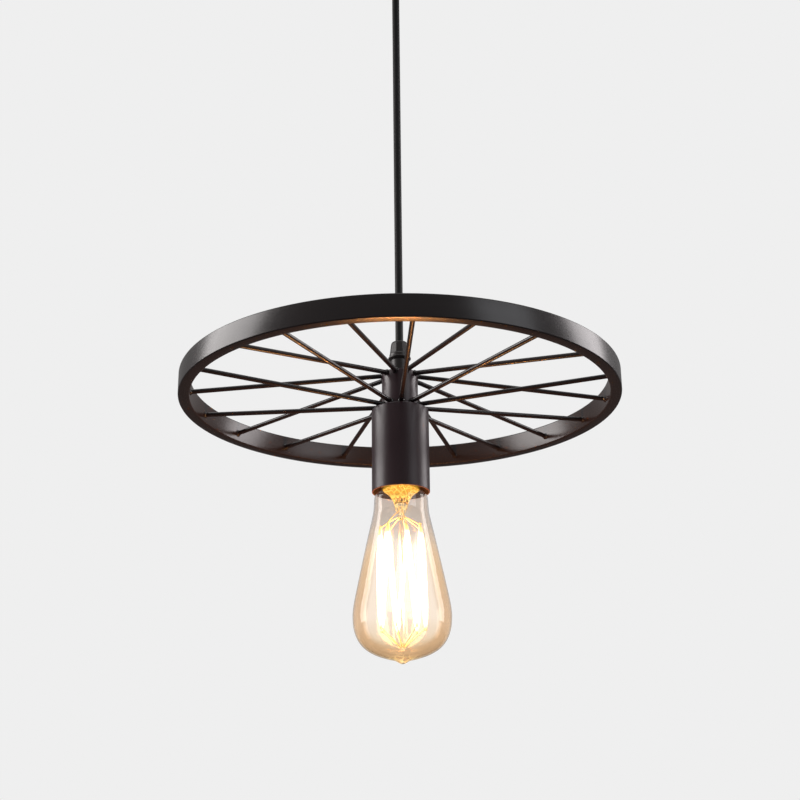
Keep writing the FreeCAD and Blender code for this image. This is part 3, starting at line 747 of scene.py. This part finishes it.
# ------------------------------------------------------- bulb: stem and wires
stem_profile = spline([(11.0, -66.2), (11.8, -67.0), (12.3, -68.2), (11.9, -69.1), (11.0, -69.8), (9.2, -71.2), (7.4, -73.2), (5.6, -76.2), (4.2, -79.4), (3.0, -82.6), (2.2, -84.8),
                       (1.3, -85.5), (1.35, -85.8), (2.3, -86.3), (2.6, -87.2), (2.3, -88.3), (1.3, -89.2), (1.15, -91.0), (1.15, -128.0), (1.15, -170.4), (1.3, -171.2),
                       (2.2, -172.0), (2.5, -173.2), (2.2, -174.4), (1.3, -175.3), (0.0, -176.0)], 4)


def pressed(r, z, a):
    """The press: the tube is pinched flat where the wires are sealed in."""
    f = math.exp(-((z + 83.0) / 2.4) ** 2)
    if r < 2.0:
        f *= 0.3
    x, y = r * math.cos(a) * (1 + 0.28 * f), r * math.sin(a) * (1 - 0.42 * f)
    return math.hypot(x, y), z


stem_points = [(0, -66.2)] + stem_profile
stem = lathe("bulb_glass_stem", stem_points, [STEM_GLASS, FLARE_LIT], segs=64, closed=False, sharp=None, shape=pressed,
             face_mat=lambda i: 1 if stem_points[i + 1][1] > -68.9 else 0)
stem.visible_shadow = False
finish_piece(stem, "bulb", "stem_glass", "bulb_stem")

N_HOOK = 7
R_UP, Z_UP, R_LOW, Z_LOW = 13.8, -94.0, 15.0, -162.0
up_dirs = [360.0 / N_HOOK * i + 12 for i in range(N_HOOK)]
low_dirs = [d + 180.0 / N_HOOK for d in up_dirs]


def hook_points(centre_z, deg, r, z, up_hook):
    """A support wire from the bead out to its hook, with a small eye at the end."""
    p0, p1 = around(deg, 1.6, centre_z), around(deg, r - 0.9, z)
    mid = (p0 + p1) / 2 + np.array((0, 0, 0.7 * MM * (1 if up_hook else -1)))
    pts = [p0 * (1 - t) ** 2 + mid * 2 * t * (1 - t) + p1 * t * t for t in np.linspace(0, 1, 9)]
    c = around(deg, r - 0.1, z)
    radial = (around(deg, 2, 0) - around(deg, 1, 0)) / MM
    vert = np.array((0, 0, 1.0 if up_hook else -1.0))
    for a in np.linspace(200, 520, 12):
        q = math.radians(a)
        pts.append(c + (radial * math.cos(q) * 0.8 + vert * math.sin(q) * 0.8) * MM)
    return pts


verts, faces = [], []
for d in up_dirs[1:-1]:
    sweep_into(verts, faces, hook_points(-87.2, d, R_UP, Z_UP, True), 0.26 * MM, 8)
o = make("bulb_hooks_upper", verts, faces, WIRE, sharp=60)
o.visible_shadow = False
finish_piece(o, "bulb", "support_wire", "bulb_upper_supports")
verts, faces = [], []
for d in low_dirs:
    sweep_into(verts, faces, hook_points(-173.2, d, R_LOW, Z_LOW, False), 0.26 * MM, 8)
o = make("bulb_hooks_lower", verts, faces, WIRE, sharp=60)
o.visible_shadow = False
finish_piece(o, "bulb", "support_wire", "bulb_lower_supports")
verts, faces = [], []
for s, d in ((1, up_dirs[0]), (-1, up_dirs[-1])):
    e = around(d, R_UP, Z_UP)
    start = around(d, 2.0, -80.5)
    low = around(d, 2.6, -84.0)
    pts = [start, start * 0.6 + low * 0.4, low, low * 0.6 + e * 0.4 + np.array((0, 0, 0.8 * MM)), low * 0.2 + e * 0.8 + np.array((0, 0, 0.6 * MM)), e, e + np.array((0, 0, -1.0 * MM))]
    fine = []
    for i in range(len(pts) - 1):
        fine += [pts[i] * (1 - t) + pts[i + 1] * t for t in np.linspace(0, 1, 4)[:-1]]
    fine.append(pts[-1])
    sweep_into(verts, faces, fine, 0.34 * MM, 8)
o = make("bulb_lead_in_wires", verts, faces, WIRE, sharp=60)
o.visible_shadow = False
finish_piece(o, "bulb", "support_wire", "bulb_lead_wires")

verts, faces = [], []
for i in range(N_HOOK):
    for j in (i, i - 1):
        if i == 0 and j == -1:
            continue
        a = around(up_dirs[i], R_UP, Z_UP)
        b = around(low_dirs[j % N_HOOK], R_LOW, Z_LOW)
        radial = (around(up_dirs[i], 2, 0) - around(up_dirs[i], 1, 0)) / MM
        n = 150
        pts, rad = [], []
        for k in range(n + 1):
            t = k / n
            bow = math.sin(math.pi * t) * (0.9 + 0.25 * math.sin(i * 2.1 + j))
            pts.append(a * (1 - t) + b * t + radial * bow * MM)
            rad.append((1.60 + 0.08 * math.cos(2 * math.pi * k / 5)) * MM * (1 - 0.72 * (2 * t - 1) ** 8))
        sweep_into(verts, faces, pts, rad, 8)
fil = make("bulb_glowing_filament", verts, faces, FILAMENT, sharp=None)
fil.visible_shadow = False
finish_piece(fil, "bulb", "filament", "bulb_filament")

# ------------------------------------------------------------- ceiling parts
canopy_points = rounded([
    (5.1, -25.0, 0.05), (50.0, -25.0, 4.0), (50.0, -0.3, 0.2), (49.0, -0.3, 0.2), (49.0, -24.0, 3.0), (5.1, -24.0, 0.05)], steps=8)
# the canopy's underside takes the matt coat, whose lighter base is a painted sheen
canopy = lathe("ceiling_canopy_cover", canopy_points, [COAT, COAT_MATT_PAINTED_SHEEN], segs=192, shift=0.0, sharp=50,
               face_mat=lambda i: 1 if canopy_points[i][1] + canopy_points[(i + 1) % len(canopy_points)][1] < -49.2 else 0)
finish_piece(canopy, "ceiling", "black_coat", "canopy")
bush = lathe("ceiling_grip_bush", rounded([
    (5.15, -41.0, 0.3), (7.0, -41.0, 1.2), (7.0, -28.2, 0.6), (8.6, -27.2, 0.4), (8.6, -25.05, 0.2), (5.0, -25.05, 0.05), (5.0, -18.0, 0.3), (2.8, -18.0, 0.2),
    (2.8, -35.4, 0.1), (3.25, -36.8, 0.1), (3.25, -38.2, 0.3)], steps=4), COAT_GRIP, segs=96, shift=0.0, sharp=40)
finish_piece(bush, "ceiling", "black_coat", "canopy_grip")

NODE_MATS = {
    "ceiling_bracket": ZINC, "canopy_screws": COAT_GRIP, "canopy_grip_nut": ZINC, "canopy_grip_screw": COAT_GRIP,
    "cord_tail": CORD, "cord_bend": CORD, "terminal_block": BLOCK, "terminal_screws": BRASS, "block_screw": ZINC, "earth_screw": BRASS,
    "ceiling_lead_live": BROWN, "ceiling_lead_neutral": BLUE, "ceiling_lead_earth": GREEN, "earth_link_lead": GREEN,
    "hub_bottom_disc": ZINC, "threaded_nipple": ZINC, "grip_insert": RUBBER, "cup_lock_washer": ZINC, "cup_nut": ZINC,
    "lampholder_cap": PHENOLIC, "lampholder_centre_contact": BRASS, "lampholder_terminal_screws": BRASS,
    "lamp_lead_live": BROWN, "lamp_lead_neutral": BLUE, "lamp_lead_earth": GREEN,
}
for name, mat in NODE_MATS.items():
    o = NODES[name]
    o.data.materials.clear()
    o.data.materials.append(mat)

# ------------------------------------------------------------ light and room
world = bpy.data.worlds.new("world")
scene.world = world
world.use_nodes = True
wt = world.node_tree
bg = wt.nodes["Background"]
seen = wt.nodes.new("ShaderNodeBackground")
path = wt.nodes.new("ShaderNodeLightPath")
mixw = wt.nodes.new("ShaderNodeMixShader")
most = wt.nodes.new("ShaderNodeMath")
most.operation = "MAXIMUM"
wt.links.new(path.outputs["Is Camera Ray"], most.inputs[0])
wt.links.new(path.outputs["Is Transmission Ray"], most.inputs[1])
wt.links.new(most.outputs[0], mixw.inputs["Fac"])
bg.inputs["Color"].default_value = (1.0, 0.985, 0.98, 1)
bg.inputs["Strength"].default_value = 0.25
seen.inputs["Color"].default_value = (0.863, 0.863, 0.863, 1)
seen.inputs["Strength"].default_value = 1.0
way = wt.nodes.new("ShaderNodeTexCoord")
parts = wt.nodes.new("ShaderNodeSeparateXYZ")
lift = wt.nodes.new("ShaderNodeMapRange")
lift.inputs["From Min"].default_value = -0.25
lift.inputs["From Max"].default_value = 0.10
lift.inputs["To Min"].default_value = 0.07
lift.inputs["To Max"].default_value = 0.25
wt.links.new(way.outputs["Generated"], parts.inputs[0])
wt.links.new(parts.outputs["Z"], lift.inputs["Value"])
wt.links.new(lift.outputs["Result"], bg.inputs["Strength"])
wt.links.new(bg.outputs["Background"], mixw.inputs[1])
wt.links.new(seen.outputs["Background"], mixw.inputs[2])
wt.links.new(mixw.outputs[0], wt.nodes["World Output"].inputs["Surface"])

scene.view_settings.view_transform = "Standard"
scene.view_settings.look = "None"
scene.view_settings.exposure = 0.0
scene.view_settings.gamma = 1.0


def softbox(name, direction, dist, size, size_y, watts, col=(1, 1, 1)):
    d = Vector(direction).normalized()
    light = bpy.data.lights.new(name, "AREA")
    light.shape = "RECTANGLE"
    light.size, light.size_y = size, size_y
    light.energy = watts
    light.color = col
    o = bpy.data.objects.new(name, light)
    scene.collection.objects.link(o)
    o.location = Vector((0, 0, W)) + d * dist
    o.rotation_euler = (-d).to_track_quat("-Z", "Y").to_euler()
    o.visible_camera = False
    return o


key_left = softbox("key_left", (-0.9934, 0.0173, 0.36), 1.7, 1.13, 1.1, 23.5, (1.0, 0.965, 0.955))
key_right = softbox("key_right_back", (0.937, 0.269, 0.36), 1.7, 0.76, 1.0, 13.5, (1.0, 0.95, 0.96))
softbox("fill_right_front", (0.788, -0.616, 0.36), 2.0, 1.0, 1.0, 5.2, (0.94, 0.96, 1.0))
softbox("top", (0.0, 0.1, 1.0), 2.2, 2.0, 2.0, 18)

# the bulb's glass takes only faint copies of the two big lights
thin_skin = bpy.data.collections.new("bulb_glass_only")
thin_skin.objects.link(glass)
everything_else = bpy.data.collections.new("not_bulb_glass")
everything_else.objects.link(glass)
everything_else.collection_objects[0].light_linking.link_state = "EXCLUDE"
for o in (key_left, key_right):
    o.light_linking.receiver_collection = everything_else
for name, direction, size, size_y, watts in (("skin_left", (-0.955, 0.22, 0.20), 0.60, 1.1, 5.6), ("skin_right", (0.955, 0.24, 0.20), 0.55, 1.1, 5.0), ("skin_front", (0.55, -0.80, 0.15), 0.16, 0.9, 1.1)):
    o = softbox(name, direction, 1.7, size, size_y, watts, (1.0, 0.98, 0.95))
    o.light_linking.receiver_collection = thin_skin

# the lit filament, as three warm globes of light inside the bulb
for name, z, watts, rad in (("glow_top", -100, 0.70, 22), ("glow_mid", -126, 0.70, 24), ("glow_low", -150, 0.28, 26)):
    light = bpy.data.lights.new(name, "POINT")
    light.energy = watts
    light.color = (1.0, 0.40, 0.12)
    light.shadow_soft_size = rad * MM
    o = bpy.data.objects.new(name, light)
    scene.collection.objects.link(o)
    o.location = (0, 0, W + z * MM)
    o.visible_camera = False
    o.visible_transmission = False
    o.light_linking.receiver_collection = everything_else
    o.parent = frame["bodies"]["bulb"]

floor_me = bpy.data.meshes.new("floor")
floor_me.from_pydata([(-9, -9, -2.4), (9, -9, -2.4), (9, 9, -2.4), (-9, 9, -2.4)], [], [(0, 1, 2, 3)])
floor = bpy.data.objects.new("floor", floor_me)
scene.collection.objects.link(floor)
fm = Mat("floor_pale")
fm.link(fm.ramp(fm.noise(3.0), [(0.3, (0.80, 0.80, 0.80)), (0.7, (0.84, 0.84, 0.84))]), fm.p.inputs["Base Color"])
fm.set(Roughness=0.8)
floor.data.materials.append(fm.m)
floor.visible_glossy = False
